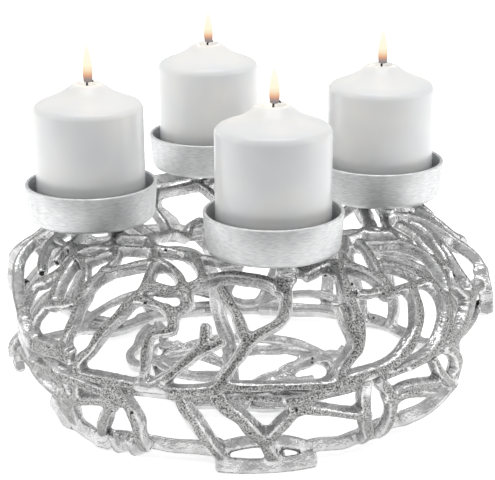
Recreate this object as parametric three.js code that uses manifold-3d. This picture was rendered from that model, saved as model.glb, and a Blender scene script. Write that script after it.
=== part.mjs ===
// Cast aluminium advent wreath: an open ring of twigs with four turned candle cups,
// four white pillar candles and their wicks. Millimetres, +Z up, origin at floor level
// below the middle of the wreath.
//
// The wreath is three castings: a dome that runs from a seam round the outside over the top
// to the rim of the hole, a skirt of legs on a foot ring, and a smaller ring that stands on
// the floor round the hole, with the few struts that climb the hole's wall.

import * as THREE from 'three';
import { mergeVertices } from 'three/addons/utils/BufferGeometryUtils.js';
import Module from 'manifold-3d';

const wasm = await Module();
wasm.setup();

// Wreath: an elliptical tube bent into a ring. The twigs lie in its skin.
const ringRadius = 110;
const tubeHalfWidth = 73;
const tubeHalfHeight = 70;
const tubeCentreHeight = 72;

// Twigs: bars with a narrow outer face and wider inside.
// Side twigs are slimmer than stout ones and lie a little deeper in the skin.
const sideWidth = 8.5;
const sideDepth = 6.5;
const sideSink = 1.2;
const stoutDepth = 9;
const outerFaceShare = 0.62;
const longestStep = 30;
const sharpestBend = 38;

// Cups, one over each quarter of the ring, turned a little from the axes.
const cupRingRadius = 111;
const cupTurn = 12.7;
const cupRingCentreX = -4;
const cupHeights = [147, 148, 145, 148];
const cupRimRadius = 48.5;
const cupBaseRadius = 46.3;
const cupHeight = 28;
const cupWall = 2.6;
const cupFloor = 3;

// Candles and wicks.
const candleRadius = 40;
const candleShoulder = 81;
const candleDome = 17;
const wickRadius = 1.1;
const wickHoleDepth = 8;
const wickShown = 7.5;

// Clearance kept between pieces that rest on each other or are welded together.
const gap = 0.3;

const roundSides = 24;
const sectorCount = 8;
const sectorAngle = 360 / sectorCount;

function finish(color, roughness, metalness) {
  return new THREE.MeshStandardMaterial({ color, roughness, metalness });
}

const castAluminium = () => finish(0xa6a6a6, 0.5, 1);
const turnedAluminium = () => finish(0xbcbcbc, 0.32, 1);
const pearlWax = () => finish(0xf1f1ee, 0.4, 0);
const charredCotton = () => finish(0x2b2723, 0.9, 0);

// A place in the skin: degrees round the ring from +X, degrees round the tube from the
// outer equator (90 is the top, 180 the wall of the hole) and mm out of the skin.
function skinPoint(around, over, out = 0) {
  const a = THREE.MathUtils.degToRad(around);
  const b = THREE.MathUtils.degToRad(over);
  const radius = ringRadius + (tubeHalfWidth + out) * Math.cos(b);
  const height = tubeCentreHeight + (tubeHalfHeight + out) * Math.sin(b);
  return new THREE.Vector3(radius * Math.cos(a), radius * Math.sin(a), height);
}

// Straight out of the skin at a point near it.
function skinNormal(point) {
  const middle = new THREE.Vector3(point.x, point.y, 0).setLength(ringRadius).setZ(tubeCentreHeight);
  return point.clone().sub(middle).normalize();
}

// A twig's route, smooth between its places, with its section kept square to the skin.
class TwigRoute extends THREE.Curve {
  constructor(places, sink) {
    super();
    const knots = places.map(([around, over, out = 0]) => new THREE.Vector3(around, over, out - sink));
    this.inSkin = new THREE.CatmullRomCurve3(knots, false, 'catmullrom', 0.5);
  }

  getPoint(t) {
    const place = this.inSkin.getPoint(t);
    return skinPoint(place.x, place.y, place.z);
  }

  computeFrenetFrames(steps) {
    const frames = { tangents: [], normals: [], binormals: [] };
    for (let step = 0; step <= steps; step++) {
      const tangent = this.getTangentAt(step / steps);
      const side = tangent.clone().cross(skinNormal(this.getPointAt(step / steps))).normalize();
      frames.tangents.push(tangent);
      frames.normals.push(side.clone().cross(tangent));
      frames.binormals.push(side);
    }
    return frames;
  }

  stepCount() {
    let bend = 0;
    const looks = 24;
    for (let look = 1; look <= looks; look++) {
      bend += this.getTangentAt(look / looks).angleTo(this.getTangentAt((look - 1) / looks));
    }
    const byBend = Math.ceil(THREE.MathUtils.radToDeg(bend) / sharpestBend);
    return Math.max(1, byBend, Math.ceil(this.getLength() / longestStep));
  }
}

function twigSection(width, depth, grow) {
  const outer = (width * outerFaceShare) / 2 + grow;
  const inner = width / 2 + grow;
  return new THREE.Shape([
    new THREE.Vector2(grow, -outer),
    new THREE.Vector2(grow, outer),
    new THREE.Vector2(-depth - grow, inner),
    new THREE.Vector2(-depth - grow, -inner),
  ]);
}

function solidOf(geometry) {
  geometry.deleteAttribute('normal');
  geometry.deleteAttribute('uv');
  const merged = mergeVertices(geometry, 1e-4);
  const vertProperties = new Float32Array(merged.attributes.position.array);
  const triVerts = new Uint32Array(merged.index.array);
  return new wasm.Manifold(new wasm.Mesh({ numProp: 3, vertProperties, triVerts }));
}

function geometryOf(solid) {
  const mesh = solid.getMesh();
  const geometry = new THREE.BufferGeometry();
  geometry.setAttribute('position', new THREE.BufferAttribute(new Float32Array(mesh.vertProperties), 3));
  geometry.setIndex(new THREE.BufferAttribute(new Uint32Array(mesh.triVerts), 1));
  geometry.computeVertexNormals();
  return geometry;
}

// A twig with a stated width is a stout one.
function twigSolid({ places, width, depth }, grow = 0) {
  const route = new TwigRoute(places, width ? 0 : sideSink);
  const section = twigSection(width ?? sideWidth, depth ?? (width ? stoutDepth : sideDepth), grow);
  return solidOf(new THREE.ExtrudeGeometry(section, { steps: route.stepCount(), extrudePath: route }));
}

const joined = (solids) => solids.reduce((whole, solid) => whole.add(solid));

// Twigs of the dome on the left, from the seam up to the top, and the shoots between them.
const leftTwigs = [
  {
    width: 10,
    places: [
      [188, 68], [184, 58], [181, 46], [184, 37, 2], [187, 30, 2], [191, 24], [198, 20], [204, 15],
      [209, 8], [213, 3],
    ],
  },
  { places: [[196, 62], [204, 65], [208, 68], [213, 72], [219, 78], [225, 85], [230, 89], [235, 94]] },
  {
    width: 9,
    places: [
      [228, 61], [231, 65], [234, 70], [237, 75], [241, 79], [245, 78], [250, 71], [253, 63],
      [255, 55], [256, 50],
    ],
  },
  { width: 10, places: [[228, 61], [227, 53], [227, 44], [227, 35], [227, 27], [226, 17], [225, 6]] },
  { width: 13, places: [[211, 65], [213, 60], [215, 50], [216, 42], [217, 35], [217, 29]] },
  {
    width: 10,
    places: [
      [241, 78], [242, 66], [243, 57], [241, 47], [239, 36], [236, 25], [234, 14], [231, 6],
      [230, -3],
    ],
  },
  {
    width: 10,
    places: [
      [261, 37], [261, 29], [259, 21], [256, 13], [253, 6], [249, 0], [243, -1], [237, -2],
      [231, -3],
    ],
  },
  { places: [[217, 31], [215, 25], [213, 18], [213, 10], [214, 2]] },
];

const leftShoots = [
  { places: [[201, 74], [204, 68], [205, 61], [207, 54]] },
  { places: [[210, 92], [215, 87], [223, 79], [227, 71], [228, 61]] },
  { places: [[207, 66], [211, 63], [216, 63], [220, 67], [222, 75]] },
  { places: [[216, 63], [221, 58], [224, 52], [225, 46], [227, 41]] },
  { places: [[210, 40], [207, 35], [206, 29], [206, 20], [206, 11], [209, 7], [212, 3]] },
  {
    places: [
      [242, 49], [247, 48], [251, 45], [253, 39], [253, 33], [249, 30], [248, 21], [248, 8],
      [247, 0],
    ],
  },
  { width: 17, places: [[209, 1], [216, 3], [222, 5], [228, 5]] },
];

// Twigs of the dome in front.
const frontTwigs = [
  {
    width: 10,
    places: [
      [255, 52], [255, 61], [258, 66], [261, 70], [266, 73], [271, 71], [276, 68], [279, 62],
      [281, 56],
    ],
  },
  {
    width: 11,
    places: [
      [282, 76], [282, 66], [281, 56], [280, 46], [278, 39], [274, 34], [271, 29], [269, 21],
      [266, 10], [264, 1], [264, -5],
    ],
  },
  {
    width: 11,
    places: [
      [288, 71], [293, 75], [298, 77], [302, 73], [306, 64], [308, 56], [309, 50], [308, 44],
    ],
  },
  {
    width: 12, depth: 10,
    places: [
      [299, 72], [298, 62], [297, 52], [297, 42], [297, 31], [296, 21], [293, 14], [291, 8],
      [290, 0], [286, -4], [279, -6],
    ],
  },
  { places: [[318, 90], [315, 80], [312, 70], [310, 61], [309, 53]] },
];

const frontShoots = [
  { width: 11, places: [[264, 61], [266, 53], [268, 46], [269, 39], [270, 32]] },
  { width: 11, places: [[294, 44], [294, 35], [295, 27], [295, 18]] },
  { places: [[247, -1], [252, -1], [257, -1], [262, 1], [265, 3]] },
  { places: [[266, 4], [270, 3], [276, 3], [283, 2], [290, 0]] },
];

// Twigs of the dome on the right.
const rightTwigs = [
  {
    width: 9,
    places: [
      [318, 90], [321, 84], [325, 79], [329, 74], [331, 66], [332, 56], [331, 46], [329, 36],
      [327, 28], [325, 18], [323, 8],
    ],
  },
  {
    width: 12,
    places: [
      [314, 66], [317, 60], [320, 54], [323, 45], [325, 35], [325, 27], [323, 19], [320, 10],
      [316, 4], [309, 1],
    ],
  },
  {
    width: 13,
    places: [
      [316, 41], [315, 32], [313, 23], [310, 15], [306, 8], [301, 4], [294, 2], [288, 0],
    ],
  },
  { places: [[308, 45], [312, 46], [318, 45], [324, 44]] },
  {
    width: 9,
    places: [
      [350, 76], [346, 64], [341, 56], [338, 48], [335, 40], [333, 33], [335, 25], [338, 18],
    ],
  },
  {
    width: 10,
    places: [
      [351, 92], [357, 80], [356, 66], [355, 55], [356, 45], [356, 36, 3], [355, 28, 6],
      [353, 22, 7],
    ],
  },
  { width: 14, depth: 11, places: [[353, 22, 7], [351, 14, 7], [351, 6, 7], [350, -2, 7]] },
  { width: 17, places: [[341, 20], [336, 15], [331, 9], [327, 5], [322, 2]] },
  { places: [[355, 92], [346, 91], [338, 86], [335, 78], [333, 70]] },
];

const rightShoots = [
  { places: [[350, 70], [345, 57], [342, 48], [340, 39], [340, 30], [343, 21], [350, 17]] },
];

// Twigs of the top between the cups, and the hole's rim where both halves share it.
const topTwigs = [
  { places: [[235, 94], [243, 97], [254, 92], [262, 90], [272, 96], [286, 100]] },
  { places: [[258, 66], [257, 75], [254, 84], [250, 94]] },
  { places: [[234, 93], [237, 86], [241, 78]] },
  { width: 10, places: [[286, 100], [302, 104], [318, 103], [326, 100], [334, 98], [345, 100]] },
  { places: [[334, 99], [335, 89], [330, 74]] },
];

// The dome's lower edge, half way round from the left to the right.
const seam = {
  places: [
    [180, -3, -6], [190, -3, -8], [200, -2, -6], [210, -1, -4], [222, -6, -3], [234, -8, -3],
    [243, -7, -3], [251, -6, -3], [262, -5, -3], [272, -4, -3], [282, -7, -3], [290, -6, -3],
    [300, -3, -3], [308, -1, -3], [316, 0, -3], [325, 1, -3], [335, 3, -2], [345, 1, -3],
    [353, -1, -4], [360, -3, -6],
  ],
};

// The hole's rim on the left, with a lip that dips into the hole under the left cup.
const leftRimTwigs = [
  {
    width: 10,
    places: [
      [235, 94], [225, 104], [212, 115], [198, 124], [185, 130], [172, 134], [160, 137],
      [152, 142], [146, 144], [138, 139], [128, 137],
    ],
  },
  { places: [[138, 102], [146, 111], [153, 117], [157, 124], [160, 130], [167, 135]] },
  { places: [[126, 137], [122, 141], [125, 149], [128, 157], [125, 162]] },
  { places: [[214, 110], [215, 92], [216, 80], [212, 66]] },
  { places: [[115, 101], [111, 110], [108, 120]] },
];

// The hole's rim on the right, and the twigs that run from it to the front cup.
const rightRimTwigs = [
  {
    width: 13,
    places: [
      [331, 95], [343, 101], [354, 104], [365, 104], [378, 102], [394, 99], [408, 96], [416, 94],
    ],
  },
  { width: 10, places: [[333, 84], [330, 93], [332, 103], [335, 113], [339, 120]] },
  { places: [[320, 103], [313, 94], [306, 84], [303, 75]] },
];

// A twig across the ring under the middle of a cup, which carries it.
function seatTwig(middle) {
  return {
    width: 9,
    places: [
      [middle - 4, 58], [middle - 1, 74, 5], [middle + 3, 86, 7], [middle - 1, 100, 6], [middle + 2, 124],
    ],
  };
}

// Struts of the hole's wall, from the rim down to the ring on the floor, and the bars that
// branch off them and run low round the hole.
const holeTwigs = [
  {
    width: 14,
    places: [
      [238, 97], [240, 120], [242, 142], [243, 165], [243, 178], [248, 188], [254, 197],
      [257, 207], [260, 222], [262, 236, 6],
    ],
  },
  {
    width: 12,
    places: [
      [268, 238, 7], [278, 227], [290, 223], [304, 220], [320, 219], [340, 222], [355, 229],
      [370, 240], [385, 252],
    ],
  },
  {
    width: 10, depth: 8,
    places: [
      [261, 218], [250, 221], [236, 224], [222, 226], [207, 228], [191, 230],
    ],
  },
  {
    width: 10, depth: 8,
    places: [
      [261, 214], [250, 212], [236, 210], [222, 212], [205, 220], [188, 230], [170, 240],
      [150, 250],
    ],
  },
  { width: 10, depth: 8, places: [[343, 222], [346, 231], [345, 238, 7]] },
];

// The bar that lies on the floor all round the hole.
function hoop(over, swing, waves, options) {
  const places = [];
  for (let step = 0; step <= 48; step++) {
    const around = (step * 360) / 48;
    const wave = swing * Math.sin(THREE.MathUtils.degToRad(around * waves + 40));
    places.push([around, over + wave, options.out ?? 0]);
  }
  const half = places.length >> 1;
  return [
    { ...options, places: places.slice(0, half + 1) },
    { ...options, places: places.slice(half) },
  ];
}

// Legs and cross bars of the skirt, between the seam and the foot ring.
const skirtTwigs = [
  { width: 12, places: [[221, -4], [224, -12], [225, -21], [222, -32], [218, -45, 4], [216, -56, 8]] },
  { width: 13, places: [[239, -3], [239, -13], [238, -22], [235, -33], [230, -50, 4], [227, -60, 9]] },
  { width: 13, places: [[241, -5], [243, -14], [244, -22], [244, -32], [243, -45, 3], [242, -58, 7]] },
  { width: 12, places: [[256, -4], [257, -13], [259, -21], [260, -32], [262, -44, 3], [264, -58, 7]] },
  {
    width: 15,
    places: [
      [264, -2], [266, -11], [269, -18], [271, -27], [274, -40], [276, -50, 5], [278, -60, 9],
    ],
  },
  { width: 12, places: [[285, -4], [282, -12], [280, -18], [278, -26], [275, -38]] },
  { width: 12, places: [[297, -3], [297, -12], [298, -22], [300, -36], [303, -50, 4], [304, -60, 6]] },
  { width: 9, places: [[317, -2], [320, -12], [326, -24], [332, -35, 4]] },
  { width: 14, depth: 11, places: [[332, -33, 4], [329, -42, 6], [325, -51, 7], [321, -60, 6]] },
  {
    width: 10, depth: 8,
    places: [
      [331, -28], [336, -22, -6], [342, -17, -12], [350, -15, -12], [360, -15, -10],
      [370, -14, -10], [380, -13, -6], [389, -12],
    ],
  },
  { width: 13, places: [[205, -10], [212, -12], [219, -11], [226, -9], [233, -9], [240, -11]] },
];

// Bars of the skirt on the near half only.
const skirtShoots = [
  {
    width: 14,
    places: [
      [207, 2], [211, -4], [212, -10], [211, -18], [213, -24], [218, -28], [223, -34],
    ],
  },
  { places: [[229, -8], [229, -15], [227, -24], [221, -41], [219, -52, 6]] },
  { width: 11, places: [[227, -26], [231, -22], [236, -18], [241, -16]] },
  { width: 10, places: [[280, -11], [285, -15], [288, -17], [293, -22], [299, -28]] },
  { width: 11, places: [[300, -3], [303, -11], [305, -20], [307, -32], [308, -46, 4], [310, -60, 6]] },
  { places: [[303, -18], [307, -13], [311, -14], [315, -17], [321, -22]] },
  { places: [[305, -21], [309, -19], [315, -24], [325, -36]] },
  { width: 12, places: [[324, -2], [327, -8], [330, -16], [333, -25], [333, -33, 3]] },
];

// A second bar above the foot ring at the back.
const backBar = { places: [[58, -52, 3], [68, -52], [79, -56, 3], [89, -60, 8], [98, -56, 3], [107, -50]] };

// The foot ring of one half of the wreath, with its thick front plate.
const footTwigs = [
  {
    width: 13, depth: 10,
    places: [
      [201, -57, 10], [206, -57, 10], [212, -57, 13], [218, -57, 11], [224, -57, 12],
      [230, -59, 13],
    ],
  },
  {
    width: 13, depth: 10,
    places: [
      [228, -58, 13], [232, -62, 7], [237, -62, 5], [243, -64, 4], [249, -66, 4], [256, -68, 3],
      [264, -68, 4],
    ],
  },
  { width: 16, depth: 11, places: [[263, -60, 14], [271, -60, 15], [279, -60, 15], [288, -60, 14]] },
  {
    width: 13, depth: 10,
    places: [
      [286, -65, 5], [292, -66, 4], [298, -64, 6], [304, -65, 5], [310, -65, 5],
    ],
  },
  { width: 13, depth: 10, places: [[308, -65, 5], [315, -67, 4], [321, -64, 6], [326, -59, 8]] },
];

// The far half is laid out like the near half, turned half a turn.
function bothHalves(twigs) {
  const turned = twigs.map((twig) => ({
    ...twig,
    places: twig.places.map(([around, over, out = 0]) => [around + 180, over, out]),
  }));
  return [...twigs, ...turned];
}

const cupAngles = [0, 90, 180, 270].map((quarter) => quarter + cupTurn);
const sectorMiddles = Array.from({ length: sectorCount }, (_, k) => cupTurn + k * sectorAngle);

const domeTwigs = [
  ...bothHalves([...leftTwigs, ...frontTwigs, ...rightTwigs, ...topTwigs, seam]),
  ...leftShoots,
  ...frontShoots,
  ...rightShoots,
  ...leftRimTwigs,
  ...rightRimTwigs,
  ...cupAngles.map(seatTwig),
];
const holeBars = [...holeTwigs, ...hoop(238, 2, 5, { width: 9, depth: 8, out: 8 })];
const skirtBars = [...bothHalves([...skirtTwigs, ...footTwigs]), ...skirtShoots, backBar];

function cupPlace(quarter) {
  const angle = THREE.MathUtils.degToRad(cupAngles[quarter]);
  return new THREE.Vector3(
    cupRingCentreX + cupRingRadius * Math.cos(angle),
    cupRingRadius * Math.sin(angle),
    cupHeights[quarter],
  );
}

// Weld nubs between the twigs and the underside of a cup.
function weldNubs(quarter) {
  const nubRadius = 6;
  const nubDepth = 8;
  const middle = cupAngles[quarter];
  return [[middle, 79], [middle + 1, 98]].map(([around, over]) => {
    const foot = skinPoint(around, over);
    const top = cupHeights[quarter] - gap;
    const nub = new THREE.CylinderGeometry(nubRadius, nubRadius + 1, nubDepth, 6);
    nub.rotateX(Math.PI / 2);
    nub.translate(foot.x, foot.y, top - nubDepth / 2);
    return solidOf(nub);
  });
}

// Everything below the floor or above the cups' seats is trimmed off.
function block(bottom, top) {
  const side = 600;
  const box = new THREE.BoxGeometry(side, side, top - bottom);
  box.translate(0, 0, (top + bottom) / 2);
  return solidOf(box);
}

// The room that a cup takes, with its clearance.
function cupRoom(quarter) {
  const place = cupPlace(quarter);
  const room = new THREE.CylinderGeometry(cupRimRadius + 1, cupRimRadius + 1, cupHeight, 32);
  room.rotateX(Math.PI / 2);
  room.translate(place.x, place.y, place.z - gap + cupHeight / 2);
  return solidOf(room);
}

// One sector of the ring, seen from above, from floor to top.
function sectorWedge(k) {
  const middle = THREE.MathUtils.degToRad(sectorMiddles[k]);
  const half = THREE.MathUtils.degToRad(sectorAngle / 2);
  const apex = gap / 2 / Math.sin(half);
  const reach = 300;
  const outline = [new THREE.Vector2(apex * Math.cos(middle), apex * Math.sin(middle))];
  for (const side of [-half, 0, half]) {
    outline.push(new THREE.Vector2(
      apex * Math.cos(middle) + reach * Math.cos(middle + side),
      apex * Math.sin(middle) + reach * Math.sin(middle + side),
    ));
  }
  const wedge = new THREE.ExtrudeGeometry(new THREE.Shape(outline), { depth: reach, bevelEnabled: false });
  wedge.translate(0, 0, -reach / 4);
  return solidOf(wedge);
}

const volumeOf = (solid) => solid.volume();

function largestFirst(solid) {
  return solid.decompose().sort((one, other) => volumeOf(other) - volumeOf(one));
}

// Cut a casting into its sectors. A bit that hangs on a neighbour's twig goes to that
// neighbour, with the slice of casting that ties it there.
function sectorsOf(casting) {
  const mains = [];
  const strays = [];
  for (let k = 0; k < sectorCount; k++) {
    const [main, ...rest] = largestFirst(casting.intersect(sectorWedge(k)));
    mains.push(main);
    strays.push(...rest.map((solid) => ({ solid, home: k })));
  }
  const reach = 2 * gap;
  for (const { solid, home } of strays) {
    const { min, max } = solid.boundingBox();
    const size = max.map((value, axis) => value - min[axis] + 2 * reach);
    const box = new THREE.BoxGeometry(...size);
    box.translate(...max.map((value, axis) => (value + min[axis]) / 2));
    const tie = largestFirst(casting.intersect(solidOf(box)))
      .find((piece) => volumeOf(piece.intersect(solid)) > 0.5 * volumeOf(solid));
    if (!tie) continue;
    for (const side of [1, sectorCount - 1]) {
      const neighbour = (home + side) % sectorCount;
      const touches = volumeOf(tie.intersect(mains[neighbour])) > 0.01;
      const clear = mains.every((main, k) => k === neighbour || volumeOf(tie.intersect(main)) < 1e-6);
      if (touches && clear) {
        mains[neighbour] = mains[neighbour].add(tie);
        break;
      }
    }
  }
  return mains.map((main) => largestFirst(main)[0]);
}

const seats = [0, 1, 2, 3].flatMap(weldNubs);
const rooms = joined([0, 1, 2, 3].map(cupRoom));
const aboveFloor = block(0, 300);

const dome = largestFirst(
  joined([...domeTwigs.map((twig) => twigSolid(twig)), ...seats]).intersect(aboveFloor).subtract(rooms),
)[0];
const domeWithClearance = joined(domeTwigs.map((twig) => twigSolid(twig, gap)));

// A casting that stands clear of the dome.
function standing(bars) {
  const solids = bars.map((twig) => twigSolid(twig));
  return largestFirst(joined(solids).intersect(aboveFloor).subtract(domeWithClearance))[0];
}

const wreath = new THREE.Group();

function addPiece(name, geometry, material, place) {
  const mesh = new THREE.Mesh(geometry, material);
  mesh.name = name;
  if (place) mesh.position.copy(place);
  wreath.add(mesh);
}

const castings = { dome_twigs: dome, skirt_twigs: standing(skirtBars), hole_twigs: standing(holeBars) };
for (const [name, casting] of Object.entries(castings)) {
  sectorsOf(casting).forEach((solid, k) => {
    addPiece(`${name}_${k + 1}`, geometryOf(solid), castAluminium());
  });
}

// A closed solid turned about the upright axis from its profile of radii and heights.
function turned(profile) {
  const points = profile.map(([radius, height]) => new THREE.Vector2(radius, height));
  return new THREE.LatheGeometry(points, roundSides).rotateX(Math.PI / 2);
}

// A turned cup: floor, slightly flared wall and a rounded foot.
function cupGeometry() {
  const footRound = 4;
  const innerRound = 3;
  const profile = [
    [0, 0], [cupBaseRadius - footRound, 0], [cupBaseRadius, footRound],
    [cupRimRadius, cupHeight], [cupRimRadius - cupWall, cupHeight],
    [cupBaseRadius - cupWall, cupFloor + innerRound], [cupBaseRadius - cupWall - innerRound, cupFloor],
    [0, cupFloor],
  ];
  return turned(profile);
}

// A pillar candle with a melted dome and a narrow hole for its wick.
function candleGeometry() {
  const top = candleShoulder + candleDome;
  const hole = wickRadius + gap;
  const profile = [
    [0, 0], [candleRadius, 0], [candleRadius, candleShoulder - 1],
    [candleRadius - 1.2, candleShoulder + 0.6], [candleRadius * 0.62, candleShoulder + candleDome * 0.36],
    [candleRadius * 0.25, top - 3], [hole, top], [hole, top - wickHoleDepth], [0, top - wickHoleDepth],
  ];
  return turned(profile);
}

// A wick that stands in its hole and curls over at the tip.
function wickGeometry() {
  const route = new THREE.CatmullRomCurve3([
    new THREE.Vector3(0, 0, gap - wickHoleDepth),
    new THREE.Vector3(0, 0, 0.5),
    new THREE.Vector3(0.2, 0, wickShown * 0.5),
    new THREE.Vector3(1, 0, wickShown - 2),
    new THREE.Vector3(2.8, 0, wickShown - 1.1),
    new THREE.Vector3(4.6, 0, wickShown - 1.3),
  ]);
  const section = new THREE.Shape();
  section.absarc(0, 0, wickRadius, 0, 2 * Math.PI, false);
  return new THREE.ExtrudeGeometry(section, { steps: 6, curveSegments: 3, extrudePath: route });
}

for (let quarter = 0; quarter < 4; quarter++) {
  const seat = cupPlace(quarter);
  const candleFoot = seat.clone().add(new THREE.Vector3(0, 0, cupFloor + gap));
  const candleTop = candleFoot.clone().add(new THREE.Vector3(0, 0, candleShoulder + candleDome));
  addPiece(`candle_cup_${quarter + 1}`, cupGeometry(), turnedAluminium(), seat);
  addPiece(`candle_${quarter + 1}`, candleGeometry(), pearlWax(), candleFoot);
  addPiece(`wick_${quarter + 1}`, wickGeometry(), charredCotton(), candleTop);
}

export default wreath;
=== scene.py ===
import math

import bpy
import numpy as np
from mathutils import Matrix, Vector


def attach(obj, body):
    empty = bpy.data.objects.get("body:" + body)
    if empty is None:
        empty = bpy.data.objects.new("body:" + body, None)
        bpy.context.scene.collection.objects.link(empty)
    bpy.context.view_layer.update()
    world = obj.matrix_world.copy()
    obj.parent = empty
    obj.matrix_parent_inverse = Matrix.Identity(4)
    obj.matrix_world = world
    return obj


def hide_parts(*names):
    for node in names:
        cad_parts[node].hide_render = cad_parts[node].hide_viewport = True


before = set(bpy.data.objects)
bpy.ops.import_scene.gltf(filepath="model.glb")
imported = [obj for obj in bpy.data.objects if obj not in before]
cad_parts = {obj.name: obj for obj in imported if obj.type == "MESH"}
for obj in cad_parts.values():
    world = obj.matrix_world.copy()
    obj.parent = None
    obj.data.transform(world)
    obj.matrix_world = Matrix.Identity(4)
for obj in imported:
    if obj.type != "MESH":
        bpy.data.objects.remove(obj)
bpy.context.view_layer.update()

MM = 0.001
rng = np.random.default_rng(24)

# Wreath: an elliptical tube bent into a ring, with the twigs in its skin.
RING_RADIUS = 110
TUBE_HALF_WIDTH = 73
TUBE_HALF_HEIGHT = 70
TUBE_CENTRE_HEIGHT = 72
SECTORS = 8

# Cups, one over each quarter of the ring: right, back, left, front.
CUP_TURN = 12.7
CUP_RING_RADIUS = 111
CUP_RING_CENTRE_X = -4
CUP_HEIGHTS = (147, 148, 145, 148)
CUP_RIM_RADIUS = 48.5
CUP_BASE_RADIUS = 46.3
CUP_HEIGHT = 28
CUP_WALL = 2.6
CUP_FLOOR = 3
GAP = 0.3

# Candles and wicks
CANDLE_RADIUS = 40
CANDLE_SHOULDER = 81
CANDLE_DOME = 17
MELT_DEPTH = 3.6
WICK_RADIUS = 0.75


# Helpers for colours, nodes and pieces

def linear(hex_colour):
    """An sRGB hex colour as linear red, green, blue and alpha."""
    parts = [int(hex_colour[k:k + 2], 16) / 255 for k in (1, 3, 5)]
    return [c / 12.92 if c <= 0.04045 else ((c + 0.055) / 1.055) ** 2.4 for c in parts] + [1.0]


def add(tree, kind, inputs=None, **settings):
    """One shader node. An input given a socket is linked, any other value is set."""
    node = tree.nodes.new("ShaderNode" + kind)
    for name, value in settings.items():
        setattr(node, name, value)
    for name, value in (inputs or {}).items():
        if isinstance(value, bpy.types.NodeSocket):
            tree.links.new(value, node.inputs[name])
        else:
            node.inputs[name].default_value = value
    return node


def new_material(name):
    """A bare material: its node tree and its output node."""
    material = bpy.data.materials.new(name)
    material.use_nodes = True
    material.node_tree.nodes.clear()
    return material, material.node_tree, add(material.node_tree, "OutputMaterial")


def new_piece(name, vertices, faces, material, replaced=()):
    """A smooth mesh piece from vertices in mm that rides on the wreath."""
    mesh = bpy.data.meshes.new(name)
    mesh.from_pydata((np.asarray(vertices) * MM).tolist(), [], faces)
    mesh.materials.append(material)
    mesh.polygons.foreach_set("use_smooth", np.ones(len(mesh.polygons), bool))
    piece = bpy.data.objects.new(name, mesh)
    bpy.context.scene.collection.objects.link(piece)
    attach(piece, "root")
    if replaced:
        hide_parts(*replaced)
    return piece


def cup_place(quarter):
    """The middle of a cup's underside."""
    angle = math.radians(CUP_TURN + 90 * quarter)
    x = CUP_RING_CENTRE_X + CUP_RING_RADIUS * math.cos(angle)
    y = CUP_RING_RADIUS * math.sin(angle)
    return np.array([x, y, CUP_HEIGHTS[quarter]])


# Camera at the photograph's angle

CAMERA_ELEVATION = 18.44
CAMERA_DISTANCE = 1132.55
CAMERA_ROLL = -0.47
CAMERA_LENS = 107.88
CAMERA_TARGET = (2.5, 0, 117.74)


def place_camera():
    camera = bpy.data.objects.new("camera", bpy.data.cameras.new("camera"))
    camera.data.sensor_fit = "HORIZONTAL"
    camera.data.sensor_width = 36
    camera.data.lens = CAMERA_LENS
    tilt = Matrix.Rotation(math.radians(90 - CAMERA_ELEVATION), 4, "X")
    turn = tilt @ Matrix.Rotation(math.radians(CAMERA_ROLL), 4, "Z")
    back = tilt @ Vector((0, 0, CAMERA_DISTANCE))
    camera.matrix_world = Matrix.Translation((Vector(CAMERA_TARGET) + back) * MM) @ turn
    bpy.context.scene.collection.objects.link(camera)
    bpy.context.scene.camera = camera


place_camera()


# Materials

# Places on the skin where the castings were welded and then ground smooth: degrees round
# the ring, degrees over the tube, and the patch's radius.
GROUND_PATCHES = [(250, 0, 14), (209, 2, 17), (347, 7, 12), (298, -4, 9), (70, 0, 12), (150, 0, 14)]


def skin_place(around, over, out=0.0):
    """A point in mm on the skin of the ring."""
    a, b = math.radians(around), math.radians(over)
    radius = RING_RADIUS + (TUBE_HALF_WIDTH + out) * math.cos(b)
    height = TUBE_CENTRE_HEIGHT + (TUBE_HALF_HEIGHT + out) * math.sin(b)
    return np.array([radius * math.cos(a), radius * math.sin(a), height])


def facing_out(tree, place):
    """How squarely the surface faces out of the ring's skin: 1 on a twig's outer face, near 0
    on its sides and -1 on its inner face."""
    at = place.outputs["Position"]
    flat = add(tree, "VectorMath", {0: at, 1: (1, 1, 0)}, operation="MULTIPLY")
    spoke = add(tree, "VectorMath", {0: flat.outputs["Vector"]}, operation="NORMALIZE")
    ring = add(tree, "VectorMath", {
        0: spoke.outputs["Vector"], "Scale": RING_RADIUS * MM,
    }, operation="SCALE")
    middle = add(tree, "VectorMath", {
        0: ring.outputs["Vector"], 1: (0, 0, TUBE_CENTRE_HEIGHT * MM),
    }, operation="ADD")
    arm = add(tree, "VectorMath", {0: at, 1: middle.outputs["Vector"]}, operation="SUBTRACT")
    out = add(tree, "VectorMath", {0: arm.outputs["Vector"]}, operation="NORMALIZE")
    return add(tree, "VectorMath", {
        0: out.outputs["Vector"], 1: place.outputs["Normal"],
    }, operation="DOT_PRODUCT").outputs["Value"]


def ground_smooth(tree, at):
    """1 inside the ground patches, falling to 0 at their edges."""
    mask = None
    for around, over, radius in GROUND_PATCHES:
        centre = tuple(skin_place(around, over) * MM)
        reach = add(tree, "VectorMath", {0: at, 1: centre}, operation="DISTANCE")
        spot = add(tree, "MapRange", {
            "Value": reach.outputs["Value"], "From Min": 0.7 * radius * MM, "From Max": radius * MM,
            "To Min": 1.0, "To Max": 0.0,
        })
        spot = spot.outputs["Result"]
        if mask:
            spot = add(tree, "Math", {0: mask, 1: spot}, operation="MAXIMUM").outputs[0]
        mask = spot
    return mask


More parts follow.
